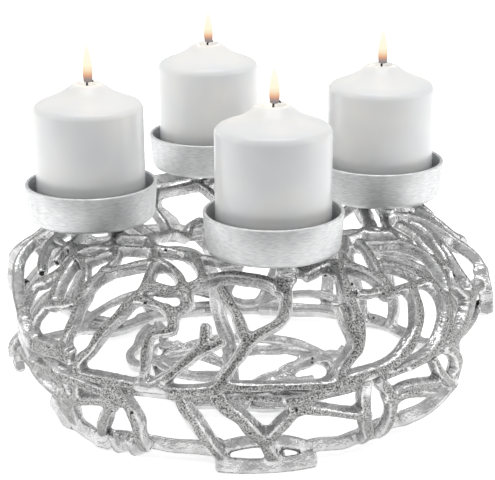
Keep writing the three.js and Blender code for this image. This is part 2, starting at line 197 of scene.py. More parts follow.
def sand_cast_aluminium():
    """Sand-cast aluminium: the outer faces keep the mould sand's coarse grain, dark in its pits and
    sparkling on its tips, the sides are smoother and lighter, and the welds are ground. The edges
    carry a painted highlight as well as rubbed wear, and the creases and blow-holes carry painted
    shade."""
    material, tree, output = new_material("sand_cast_aluminium")
    place = add(tree, "NewGeometry")
    at = place.outputs["Position"]
    outer = add(tree, "MapRange", {
        "Value": facing_out(tree, place),
        "From Min": 0.72, "From Max": 0.93, "To Min": 0.0, "To Max": 1.0,
    })
    ground = ground_smooth(tree, at)
    unground = add(tree, "Math", {0: 1.0, 1: ground}, operation="SUBTRACT")
    coarse = add(tree, "Math", {
        0: outer.outputs["Result"], 1: unground.outputs[0],
    }, operation="MULTIPLY")

    # Sand grains are about half a millimetre, drawn at 1 mm so that they show
    grain = add(tree, "TexNoise", {
        "Vector": at, "Scale": 1 / (1.0 * MM), "Detail": 2, "Roughness": 0.65,
    })
    rough_tone = add(tree, "ValToRGB", {"Fac": grain.outputs["Fac"]})
    rough_tone.color_ramp.elements[0].position = 0.38
    rough_tone.color_ramp.elements[0].color = linear("#303030")
    rough_tone.color_ramp.elements[1].position = 0.62
    rough_tone.color_ramp.elements[1].color = linear("#c4c4c3")

    # The sides: a pale skin with faint clouds of a centimetre
    cloud = add(tree, "TexNoise", {
        "Vector": at, "Scale": 1 / (11 * MM), "Detail": 2, "Roughness": 0.5,
    })
    side_tone = add(tree, "ValToRGB", {"Fac": cloud.outputs["Fac"]})
    side_tone.color_ramp.elements[0].position = 0.36
    side_tone.color_ramp.elements[0].color = linear("#b8b8b8")
    side_tone.color_ramp.elements[1].position = 0.66
    side_tone.color_ramp.elements[1].color = linear("#dadada")
    tone = add(tree, "Mix", {
        "Factor": coarse.outputs[0],
        "A": side_tone.outputs["Color"], "B": rough_tone.outputs["Color"],
    }, data_type="RGBA")

    # Painted highlight on the edges, which also stands for edges rubbed bright, and painted shade
    # in the creases where the twigs meet
    bend = place.outputs["Pointiness"]
    edge_highlight_and_wear = add(tree, "MapRange", {
        "Value": bend, "From Min": 0.535, "From Max": 0.6, "To Min": 0.0, "To Max": 1.0,
    })
    painted_crease_shade = add(tree, "MapRange", {
        "Value": bend, "From Min": 0.485, "From Max": 0.42, "To Min": 0.0, "To Max": 0.9,
    })
    # Lay the painted edge highlight, then the painted crease shade, over the tone
    tone = add(tree, "Mix", {
        "Factor": edge_highlight_and_wear.outputs["Result"], "A": tone.outputs[2], "B": linear("#f6f6f5"),
    }, data_type="RGBA")
    tone = add(tree, "Mix", {
        "Factor": painted_crease_shade.outputs["Result"], "A": tone.outputs[2], "B": linear("#242424"),
    }, data_type="RGBA")

    # Blow-holes: pits 2 to 3 mm across, in cells of 16 mm, darkened with painted shade
    holes = add(tree, "TexVoronoi", {"Vector": at, "Scale": 1 / (16 * MM)})
    pit = add(tree, "MapRange", {
        "Value": holes.outputs["Distance"],
        "From Min": 0.05, "From Max": 0.1, "To Min": 1.0, "To Max": 0.0,
    })
    # Painted shade in the blow-holes
    colour = add(tree, "Mix", {
        "Factor": pit.outputs["Result"], "A": tone.outputs[2], "B": linear("#2b2b2b"),
    }, data_type="RGBA")

    # Relief: grain and pits, strong on the outer faces and faint on the sides
    depth = add(tree, "MapRange", {"Value": coarse.outputs[0], "To Min": 0.12, "To Max": 1.0})
    fine = add(tree, "Math", {
        0: grain.outputs["Fac"], 1: depth.outputs["Result"],
    }, operation="MULTIPLY")
    # Hollows of 4 mm from the mould, 1.6 times as deep as the grain
    dent = add(tree, "TexNoise", {
        "Vector": at, "Scale": 1 / (4 * MM), "Detail": 2, "Roughness": 0.6,
    })
    height = add(tree, "Math", {
        0: dent.outputs["Fac"], 1: 1.6, 2: fine.outputs[0],
    }, operation="MULTIPLY_ADD")
    pitted = add(tree, "Math", {
        0: height.outputs[0], 1: pit.outputs["Result"],
    }, operation="SUBTRACT")
    bump = add(tree, "Bump", {
        "Height": pitted.outputs[0], "Strength": 0.85, "Distance": 0.6 * MM,
    })
    rough = add(tree, "MapRange", {"Value": coarse.outputs[0], "To Min": 0.22, "To Max": 0.28})
    surface = add(tree, "BsdfPrincipled", {
        "Base Color": colour.outputs[2],
        "Metallic": 1.0,
        "Roughness": rough.outputs["Result"],
        "Normal": bump.outputs["Normal"],
    })
    tree.links.new(surface.outputs["BSDF"], output.inputs["Surface"])
    return material


def turned_aluminium():
    """Turned aluminium: grooves too fine to see run round the cup, so that highlights stand as
    upright bands, with painted reflection bands upright in the colour as well, fine scratches along
    them and faint clouds from handling."""
    material, tree, output = new_material("turned_aluminium")
    at = add(tree, "NewGeometry").outputs["Position"]
    # Scratches half a millimetre apart, drawn at 0.8 mm so that they show
    along = add(tree, "VectorMath", {
        0: at, 1: (1 / (5 * MM), 1 / (5 * MM), 1 / (0.8 * MM)),
    }, operation="MULTIPLY")
    scratch = add(tree, "TexNoise", {"Vector": along.outputs["Vector"], "Scale": 1.0, "Detail": 3})
    # Painted reflection: upright bands 7 mm wide in the colour, standing for the turned wall's
    # upright reflections
    upright = add(tree, "VectorMath", {
        0: at, 1: (1 / (7 * MM), 1 / (7 * MM), 1 / (90 * MM)),
    }, operation="MULTIPLY")
    painted_reflection_band = add(tree, "TexNoise", {"Vector": upright.outputs["Vector"], "Scale": 1.0, "Detail": 1})
    cloud = add(tree, "TexNoise", {
        "Vector": at, "Scale": 1 / (8 * MM), "Detail": 3, "Roughness": 0.6,
    })
    # Mostly scratches, with a little of the painted reflection bands
    scratch_and_painted_band = add(tree, "Mix", {0: 0.18, 2: scratch.outputs["Fac"], 3: painted_reflection_band.outputs["Fac"]})
    tone = add(tree, "ValToRGB", {"Fac": scratch_and_painted_band.outputs[0]})
    tone.color_ramp.elements[0].position = 0.34
    tone.color_ramp.elements[0].color = linear("#d0d1d2")
    tone.color_ramp.elements[1].position = 0.64
    tone.color_ramp.elements[1].color = linear("#e8e9e9")
    bump = add(tree, "Bump", {
        "Height": scratch.outputs["Fac"], "Strength": 0.4, "Distance": 0.15 * MM,
    })
    rough = add(tree, "MapRange", {"Value": cloud.outputs["Fac"], "To Min": 0.46, "To Max": 0.6})
    around = add(tree, "Tangent", direction_type="RADIAL", axis="Z")
    surface = add(tree, "BsdfPrincipled", {
        "Base Color": tone.outputs["Color"],
        "Metallic": 1.0,
        "Roughness": rough.outputs["Result"],
        "Anisotropic": 0.2,
        "Normal": bump.outputs["Normal"],
        "Tangent": around.outputs["Tangent"],
    })
    tree.links.new(surface.outputs["BSDF"], output.inputs["Surface"])
    return material


def pearl_wax():
    """Paraffin wax with a pearl coat: cool white, softly glossy, with light passing a little
    way into it, and a coat that has run into broad, faint waves."""
    material, tree, output = new_material("pearl_wax")
    at = add(tree, "NewGeometry").outputs["Position"]
    wave = add(tree, "TexNoise", {"Vector": at, "Scale": 1 / (30 * MM), "Detail": 1})
    tone = add(tree, "ValToRGB", {"Fac": wave.outputs["Fac"]})
    tone.color_ramp.elements[0].position = 0.3
    tone.color_ramp.elements[0].color = linear("#dfe1e3")
    tone.color_ramp.elements[1].position = 0.7
    tone.color_ramp.elements[1].color = linear("#e7e7e5")
    bump = add(tree, "Bump", {"Height": wave.outputs["Fac"], "Strength": 0.1, "Distance": 1.0 * MM})
    surface = add(tree, "BsdfPrincipled", {
        "Base Color": tone.outputs["Color"],
        "Roughness": 0.32,
        "IOR": 1.44,
        "Coat Weight": 0.38,
        "Coat Roughness": 0.13,
        "Subsurface Weight": 0.2,
        "Subsurface Radius": (0.004, 0.0032, 0.0026),
        "Subsurface Scale": 1.0,
        "Normal": bump.outputs["Normal"],
    })
    tree.links.new(surface.outputs["BSDF"], output.inputs["Surface"])
    return material


def charred_cotton():
    """Braided cotton burnt black, with a trace of ash on the plaits."""
    material, tree, output = new_material("charred_cotton")
    at = add(tree, "NewGeometry").outputs["Position"]
    # Plaits about 2 mm across: diagonal waves repeat every 0.36 of their unit
    plait = add(tree, "TexWave", {
        "Vector": at, "Scale": 1 / (6 * MM), "Distortion": 3.0,
    }, bands_direction="DIAGONAL")
    tone = add(tree, "ValToRGB", {"Fac": plait.outputs["Fac"]})
    tone.color_ramp.elements[0].color = linear("#0d0c0b")
    tone.color_ramp.elements[1].color = linear("#383430")
    bump = add(tree, "Bump", {
        "Height": plait.outputs["Fac"], "Strength": 0.5, "Distance": 0.2 * MM,
    })
    surface = add(tree, "BsdfPrincipled", {
        "Base Color": tone.outputs["Color"], "Roughness": 0.9, "Normal": bump.outputs["Normal"],
    })
    tree.links.new(surface.outputs["BSDF"], output.inputs["Surface"])
    return material


# Colours of a flame between its foot and its tip, by height
FLAME_TONES = [
    (0.1, "#a09490"), (0.17, "#d3a088"), (0.24, "#f0bf9b"), (0.34, "#fbe6c4"), (0.46, "#fffadf"),
]


def candle_flame():
    """A still candle flame: smoky grey at its foot, orange above that, cream to its tip."""
    material, tree, output = new_material("candle_flame")
    span = add(tree, "TexCoord").outputs["Generated"]
    up = add(tree, "SeparateXYZ", {0: span}).outputs["Z"]
    tone = add(tree, "ValToRGB", {"Fac": up})
    ramp = tone.color_ramp
    ramp.elements[0].position = 0.0
    ramp.elements[0].color = linear("#8c8685")
    ramp.elements[1].position = 1.0
    ramp.elements[1].color = linear("#fffdf0")
    for position, colour in FLAME_TONES:
        ramp.elements.new(position).color = linear(colour)
    glow = add(tree, "Emission", {"Color": tone.outputs["Color"], "Strength": 1.0})
    tree.links.new(glow.outputs["Emission"], output.inputs["Surface"])
    return material


SAND_CAST = sand_cast_aluminium()
TURNED = turned_aluminium()
WAX = pearl_wax()
COTTON = charred_cotton()
FLAME = candle_flame()


# Twigs: (width, depth, places). A place is degrees round the ring from +X, degrees over the
# tube from its outer equator (90 is the top, 180 the wall of the hole), and mm out of the skin.

SLIM = (9, 8)

DOME_LEFT = [
    (10, 9, [
        (188, 68), (184, 58), (181, 46), (184, 37, 2), (187, 30, 2), (191, 24), (198, 20),
        (204, 15), (209, 8), (213, 3),
    ]),
    (*SLIM, [
        (196, 62), (204, 65), (208, 68), (213, 72), (219, 78), (225, 85), (230, 89), (235, 94),
    ]),
    (9, 9, [
        (228, 61), (231, 65), (234, 70), (237, 75), (241, 79), (245, 78), (250, 71), (253, 63),
        (255, 55), (256, 50),
    ]),
    (10, 9, [(228, 61), (227, 53), (227, 44), (227, 35), (227, 27), (226, 17), (225, 6)]),
    (13, 9, [(211, 65), (213, 60), (215, 50), (216, 42), (217, 35), (217, 29)]),
    (10, 9, [
        (241, 78), (242, 66), (243, 57), (241, 47), (239, 36), (236, 25), (234, 14), (231, 6),
        (230, -3),
    ]),
    (10, 9, [
        (261, 37), (261, 29), (259, 21), (256, 13), (253, 6), (249, 0), (243, -1), (237, -2),
        (231, -3),
    ]),
    (*SLIM, [(217, 31), (215, 25), (213, 18), (213, 10), (214, 2)]),
]

DOME_LEFT_SHOOTS = [
    (*SLIM, [(190, 70), (194, 57), (200, 48), (205, 43)]),
    (*SLIM, [(201, 74), (204, 68), (205, 61), (207, 54)]),
    (*SLIM, [(210, 92), (215, 87), (223, 79), (227, 71), (228, 61)]),
    (*SLIM, [(207, 66), (211, 63), (216, 63), (220, 67), (222, 75)]),
    (*SLIM, [(216, 63), (221, 58), (224, 52), (225, 46), (227, 41)]),
    (*SLIM, [(217, 30), (221, 33), (224, 36), (227, 40)]),
    (*SLIM, [(213, 54), (212, 47), (210, 41), (208, 38)]),
    (*SLIM, [(210, 40), (207, 35), (206, 29), (206, 20), (206, 11), (209, 7), (212, 3)]),
    (*SLIM, [
        (242, 49), (247, 48), (251, 45), (253, 39), (253, 33), (249, 30), (248, 21), (248, 8),
        (247, 0),
    ]),
    (*SLIM, [(251, 46), (253, 44), (255, 47), (256, 51)]),
    (13, 6, [(243, 58), (246, 58), (250, 57), (254, 59)]),
    (*SLIM, [(265, 29), (262, 25), (260, 22)]),
    (17, 9, [(209, 1), (216, 3), (222, 5), (228, 5)]),
]

DOME_FRONT = [
    (10, 9, [
        (255, 52), (255, 61), (258, 66), (261, 70), (266, 73), (271, 71), (276, 68), (279, 62),
        (281, 56),
    ]),
    (11, 9, [
        (282, 76), (282, 66), (281, 56), (280, 46), (278, 39), (274, 34), (271, 29), (269, 21),
        (266, 10), (264, 1), (264, -5),
    ]),
    (11, 9, [
        (288, 71), (293, 75), (298, 77), (302, 73), (306, 64), (308, 56), (309, 50), (308, 44),
    ]),
    (12, 10, [
        (299, 72), (298, 62), (297, 52), (297, 42), (297, 31), (296, 21), (293, 14), (291, 8),
        (290, 0), (286, -4), (279, -6),
    ]),
    (*SLIM, [(318, 90), (315, 80), (312, 70), (310, 61), (309, 53)]),
]

DOME_FRONT_SHOOTS = [
    (11, 9, [(264, 61), (266, 53), (268, 46), (269, 39), (270, 32)]),
    (*SLIM, [(300, 51), (303, 49), (306, 49), (309, 47)]),
    (11, 9, [(294, 44), (294, 35), (295, 27), (295, 18)]),
    (*SLIM, [(247, -1), (252, -1), (257, -1), (262, 1), (265, 3)]),
    (*SLIM, [(266, 4), (270, 3), (276, 3), (283, 2), (290, 0)]),
    (*SLIM, [(281, 72), (286, 76), (292, 74)]),
]

DOME_RIGHT = [
    (9, 9, [
        (318, 90), (321, 84), (325, 79), (329, 74), (331, 66), (332, 56), (331, 46), (329, 36),
        (327, 28), (325, 18), (323, 8),
    ]),
    (12, 9, [
        (314, 66), (317, 60), (320, 54), (323, 45), (325, 35), (325, 27), (323, 19), (320, 10),
        (316, 4), (309, 1),
    ]),
    (13, 9, [(316, 41), (315, 32), (313, 23), (310, 15), (306, 8), (301, 4), (294, 2), (288, 0)]),
    (*SLIM, [(308, 45), (312, 46), (318, 45), (324, 44)]),
    (9, 9, [
        (350, 76), (346, 64), (341, 56), (338, 48), (335, 40), (333, 33), (335, 25), (338, 18),
    ]),
    (10, 9, [
        (351, 92), (357, 80), (356, 66), (355, 55), (356, 45), (356, 36, 3), (355, 28, 6),
        (353, 22, 7),
    ]),
    (14, 11, [(353, 22, 7), (351, 14, 7), (351, 6, 7), (350, -2, 7)]),
    (17, 9, [(341, 20), (336, 15), (331, 9), (327, 5), (322, 2)]),
    (*SLIM, [(355, 92), (346, 91), (338, 86), (335, 78), (333, 70)]),
]

DOME_RIGHT_SHOOTS = [
    (*SLIM, [(350, 70), (345, 57), (342, 48), (340, 39), (340, 30), (343, 21), (350, 17)]),
    (13, 6, [(346, 82), (341, 72), (337, 62), (335, 53), (334, 45)]),
    (*SLIM, [(338, 19), (345, 18), (352, 15, 4)]),
]

DOME_TOP = [
    (*SLIM, [(235, 94), (243, 97), (254, 92), (262, 90), (272, 96), (286, 100)]),
    (*SLIM, [(258, 66), (257, 75), (254, 84), (250, 94)]),
    (*SLIM, [(234, 93), (237, 86), (241, 78)]),
    (10, 9, [(286, 100), (302, 104), (318, 103), (326, 100), (334, 98), (345, 100)]),
    (*SLIM, [(334, 99), (335, 89), (330, 74)]),
]

# The dome's lower edge, half way round from the left to the right
SEAM = (9, 8, [
    (180, -3, -6), (190, -3, -8), (200, -2, -6), (210, -1, -4), (222, -6, -3), (234, -8, -3),
    (243, -7, -3), (251, -6, -3), (262, -5, -3), (272, -4, -3), (282, -7, -3), (290, -6, -3),
    (300, -3, -3), (308, -1, -3), (316, 0, -3), (325, 1, -3), (335, 3, -2), (345, 1, -3),
    (353, -1, -4), (360, -3, -6),
])

# The hole's rim on the left, with the lip that dips into the hole under the left cup
LEFT_RIM = [
    (10, 9, [
        (235, 94), (225, 104), (212, 115), (198, 124), (185, 130), (172, 134), (160, 137),
        (152, 142), (146, 144), (138, 139), (128, 137),
    ]),
    (*SLIM, [(138, 102), (146, 111), (153, 117), (157, 124), (160, 130), (167, 135)]),
    (*SLIM, [(126, 137), (122, 141), (125, 149), (128, 157), (125, 162)]),
    (*SLIM, [(214, 110), (215, 92), (216, 80), (212, 66)]),
    (*SLIM, [(115, 101), (111, 110), (108, 120)]),
]

# The hole's rim on the right, and the twigs that run from it to the front cup
RIGHT_RIM = [
    (13, 9, [
        (331, 95), (343, 101), (354, 104), (365, 104), (378, 102), (394, 99), (408, 96), (416, 94),
    ]),
    (10, 9, [(333, 84), (330, 93), (332, 103), (335, 113), (339, 120)]),
    (*SLIM, [(320, 103), (313, 94), (306, 84), (303, 75)]),
]

# The struts of the hole's wall and the bars that branch off them, low round the hole
HOLE_STRUTS = [
    (14, 9, [
        (238, 97), (240, 120), (242, 142), (243, 165), (243, 178), (248, 188), (254, 197),
        (257, 207), (260, 222), (262, 236, 6),
    ]),
    (12, 9, [
        (268, 238, 7), (278, 227), (290, 223), (304, 220), (320, 219), (340, 222), (355, 229),
        (370, 240), (385, 252),
    ]),
    (10, 8, [(261, 218), (250, 221), (236, 224), (222, 226), (207, 228), (191, 230)]),
    (10, 8, [
        (261, 214), (250, 212), (236, 210), (222, 212), (205, 220), (188, 230), (170, 240),
        (150, 250),
    ]),
    (10, 8, [(343, 222), (346, 231), (345, 238, 7)]),
]

SKIRT_LEGS = [
    (12, 9, [(221, -4), (224, -12), (225, -21), (222, -32), (218, -45, 4), (216, -56, 8)]),
    (13, 9, [(239, -3), (239, -13), (238, -22), (235, -33), (230, -50, 4), (227, -60, 9)]),
    (13, 9, [(241, -5), (243, -14), (244, -22), (244, -32), (243, -45, 3), (242, -58, 7)]),
    (12, 9, [(256, -4), (257, -13), (259, -21), (260, -32), (262, -44, 3), (264, -58, 7)]),
    (15, 9, [
        (264, -2), (266, -11), (269, -18), (271, -27), (274, -40), (276, -50, 5), (278, -60, 9),
    ]),
    (12, 9, [(285, -4), (282, -12), (280, -18), (278, -26), (275, -38)]),
    (12, 9, [(297, -3), (297, -12), (298, -22), (300, -36), (303, -50, 4), (304, -60, 6)]),
    (9, 9, [(317, -2), (320, -12), (326, -24), (332, -35, 4)]),
    (14, 11, [(332, -33, 4), (329, -42, 6), (325, -51, 7), (321, -60, 6)]),
    (10, 8, [
        (331, -28), (336, -22, -6), (342, -17, -12), (350, -15, -12), (360, -15, -10),
        (370, -14, -10), (380, -13, -6), (389, -12),
    ]),
    (13, 9, [(205, -10), (212, -12), (219, -11), (226, -9), (233, -9), (240, -11)]),
]

SKIRT_SHOOTS = [
    (14, 9, [(207, 2), (211, -4), (212, -10), (211, -18), (213, -24), (218, -28), (223, -34)]),
    (*SLIM, [(229, -8), (229, -15), (227, -24), (221, -41), (219, -52, 6)]),
    (11, 9, [(227, -26), (231, -22), (236, -18), (241, -16)]),
    (10, 9, [(280, -11), (285, -15), (288, -17), (293, -22), (299, -28)]),
    (11, 9, [(300, -3), (303, -11), (305, -20), (307, -32), (308, -46, 4), (310, -60, 6)]),
    (*SLIM, [(303, -18), (307, -13), (311, -14), (315, -17), (321, -22)]),
    (*SLIM, [(305, -21), (309, -19), (315, -24), (325, -36)]),
    (12, 9, [(324, -2), (327, -8), (330, -16), (333, -25), (333, -33, 3)]),
    (11, 9, [(287, -60, 4), (281, -53), (274, -50, -2), (267, -53), (262, -60, 4)]),
    (8, 8, [(233, -52, 6), (233, -58, 12), (234, -64, 14)]),
    (8, 8, [(238, -54, 5), (238, -60, 11), (239, -66, 12)]),
    (8, 8, [(203, -1, -2), (202, -8, 4), (202, -14, 6)]),
    (8, 8, [(206, -8), (205, -15, 6), (206, -20, 7)]),
]

# Bars that show through the near twigs, along the foot and low in the hole
INNER_BARS = [
    (9, 8, [
        (186, -16, -6), (180, -30), (172, -41), (163, -49), (154, -55), (146, -59, 4), (138, -63),
    ]),
    (9, 8, [(157, -53), (150, -50), (143, -48), (136, -46), (130, -45), (121, -44)]),
    (10, 8, [(232, 243), (242, 254), (251, 266), (257, 277), (262, 288), (264, 298, 6)]),
    (10, 8, [(258, 205), (275, 203), (290, 204), (307, 206), (325, 212), (340, 220)]),
    (11, 8, [(258, 226), (266, 229), (275, 228), (287, 228), (302, 230), (318, 232)]),
    (10, 8, [(24, -60, 4), (15, -56, 2), (9, -50), (5, -40), (3, -28), (2, -16, -8)]),
    (10, 8, [(180, 244), (172, 252), (158, 262), (147, 266), (137, 277), (130, 283)]),
    (10, 8, [(126, 284), (129, 270), (140, 250), (155, 236), (173, 223), (195, 213)]),
]

BACK_BAR = (9, 8, [
    (58, -52, 3), (68, -52), (79, -56, 3), (89, -60, 8), (98, -56, 3), (107, -50),
])

FOOT_RING = [
    (13, 10, [
        (201, -57, 10), (206, -57, 10), (212, -57, 13), (218, -57, 11), (224, -57, 12),
        (230, -59, 13),
    ]),
    (13, 10, [
        (228, -58, 13), (232, -62, 7), (237, -62, 5), (243, -64, 4), (249, -66, 4), (256, -68, 3),
        (264, -68, 4),
    ]),
    (16, 11, [(263, -60, 14), (271, -60, 15), (279, -60, 15), (288, -60, 14)]),
    (13, 10, [(286, -65, 5), (292, -66, 4), (298, -64, 6), (304, -65, 5), (310, -65, 5)]),
    (13, 10, [(308, -65, 5), (315, -67, 4), (321, -64, 6), (326, -59, 8)]),
]

# Weld beads under the cups: degrees round, degrees over, quarter of the cup they touch
WELD_BEADS = [
    (282.3, 66, 3), (283, 98, 3), (353.6, 91, 0), (14, 79, 0), (211, 92, 2), (192.7, 79, 2),
    (102.7, 79, 1), (103.7, 98, 1),
]

# Twig ends that the mould left hollow: the end, and a place further along the twig
HOLLOW_ENDS = [
    ((205, 43), (200, 48)), ((207, 54), (205, 61)), ((211, 65), (213, 60)), ((208, 38), (210, 41)),
    ((300, 51), (303, 49)),
]


def half_turned(twigs):
    """The far half of the wreath is laid out like the near half, turned half a turn."""
    return [
        (width, depth, [(place[0] + 180, *place[1:]) for place in places])
        for width, depth, places in twigs
    ]


def hoop(over, swing, waves, width, depth, out=0):
    """A bar all round the ring that sways a little."""
    rounds = np.linspace(0, 360, 73)
    sway = over + swing * np.sin(np.radians(rounds * waves + 40))
    return (width, depth, [(around, height, out) for around, height in zip(rounds, sway)])


def seat_twig(middle):
    """A twig across the ring under the middle of a cup, which carries it."""
    return (*SLIM, [
        (middle - 4, 58), (middle - 1, 74, 5), (middle + 3, 86, 7), (middle - 1, 100, 6),
        (middle + 2, 124),
    ])


# Castings: twigs melted together in a block of space

# The grid's step keeps all pieces together under a million triangles
VOXEL = 1.05
FAR = 20.0
DOME_BLOCK = ((-196, -196, -4), (196, 196, 158))
SKIRT_BLOCK = ((-196, -196, -4), (196, 196, 86))

# Roundings where twigs meet, along their edges and at their ends, and the inner face's groove
FILLET = 2.8
EDGE_ROUNDING = 2.4
END_ROUNDING = 2.6
INNER_GROOVE = 1.3

# Shares of a twig's width: its outer face, its mean fullness, how far it swells round that
OUTER_FACE_SHARE = 0.62
MEAN_FULLNESS = 0.89
SWELL = 0.09

# Weld beads: radius, how uneven they are, how deep in the skin they start
BEAD_RADIUS = 5.5
BEAD_SWELL = 0.12
BEAD_ROOT = -2

# Hollow twig ends: radius, reach into the twig, rounding of the mouth, depth under the skin
HOLLOW_RADIUS = 2.2
HOLLOW_REACH = 8
HOLLOW_ROUNDING = 0.6
HOLLOW_ROOT = -4


def soft_min(a, b, reach):
    """The lesser of two distances, rounded where they are within reach of each other."""
    near = np.maximum(reach - np.abs(a - b), 0) / reach
    return np.minimum(a, b) - near * near * reach / 4


def bar_distance(across, out, width, depth):
    """Distance to a bar's section: a narrow outer face, slanted sides, a grooved inner face."""
    outer = OUTER_FACE_SHARE * width / 2
    slant = width / 2 - outer
    side = ((np.abs(across) - outer) * depth + out * slant) / np.hypot(depth, slant)
    groove = INNER_GROOVE * np.exp(-(across / (0.2 * width)) ** 2)
    faces = -soft_min(-out, depth + out - groove, EDGE_ROUNDING)
    return -soft_min(-side, -faces, EDGE_ROUNDING)


def smooth_places(places):
    """The places joined by a smooth curve, a row every few degrees."""
    knots = np.array([(*place, 0)[:3] for place in places], float)
    knots = np.vstack([2 * knots[0] - knots[1], knots, 2 * knots[-1] - knots[-2]])
    rows = []
    for p0, p1, p2, p3 in zip(knots, knots[1:], knots[2:], knots[3:]):
        steps = max(2, math.ceil(np.abs(p2 - p1)[:2].max() / 2.5))
        t = np.linspace(0, 1, steps, endpoint=False)[:, None]
        bend = (2 * p0 - 5 * p1 + 4 * p2 - p3) * t ** 2 + (3 * p1 - p0 - 3 * p2 + p3) * t ** 3
        rows.append(p1 + 0.5 * ((p2 - p0) * t + bend))
    return np.vstack(rows + [knots[-2:-1]])


def unit(vectors):
    return vectors / np.linalg.norm(vectors, axis=-1, keepdims=True)


def on_skin(places):
    """Points at these places, and the direction straight out of the skin there."""
    around, over, out = np.radians(places[:, 0]), np.radians(places[:, 1]), places[:, 2]
    flat = np.column_stack([np.cos(around), np.sin(around), 0 * around])
    up = np.array([[0, 0, 1]])
    wide = (TUBE_HALF_WIDTH + out) * np.cos(over)
    tall = (TUBE_HALF_HEIGHT + out) * np.sin(over)
    points = flat * (RING_RADIUS + wide)[:, None] + up * (TUBE_CENTRE_HEIGHT + tall)[:, None]
    return points, unit(flat * wide[:, None] + up * tall[:, None])


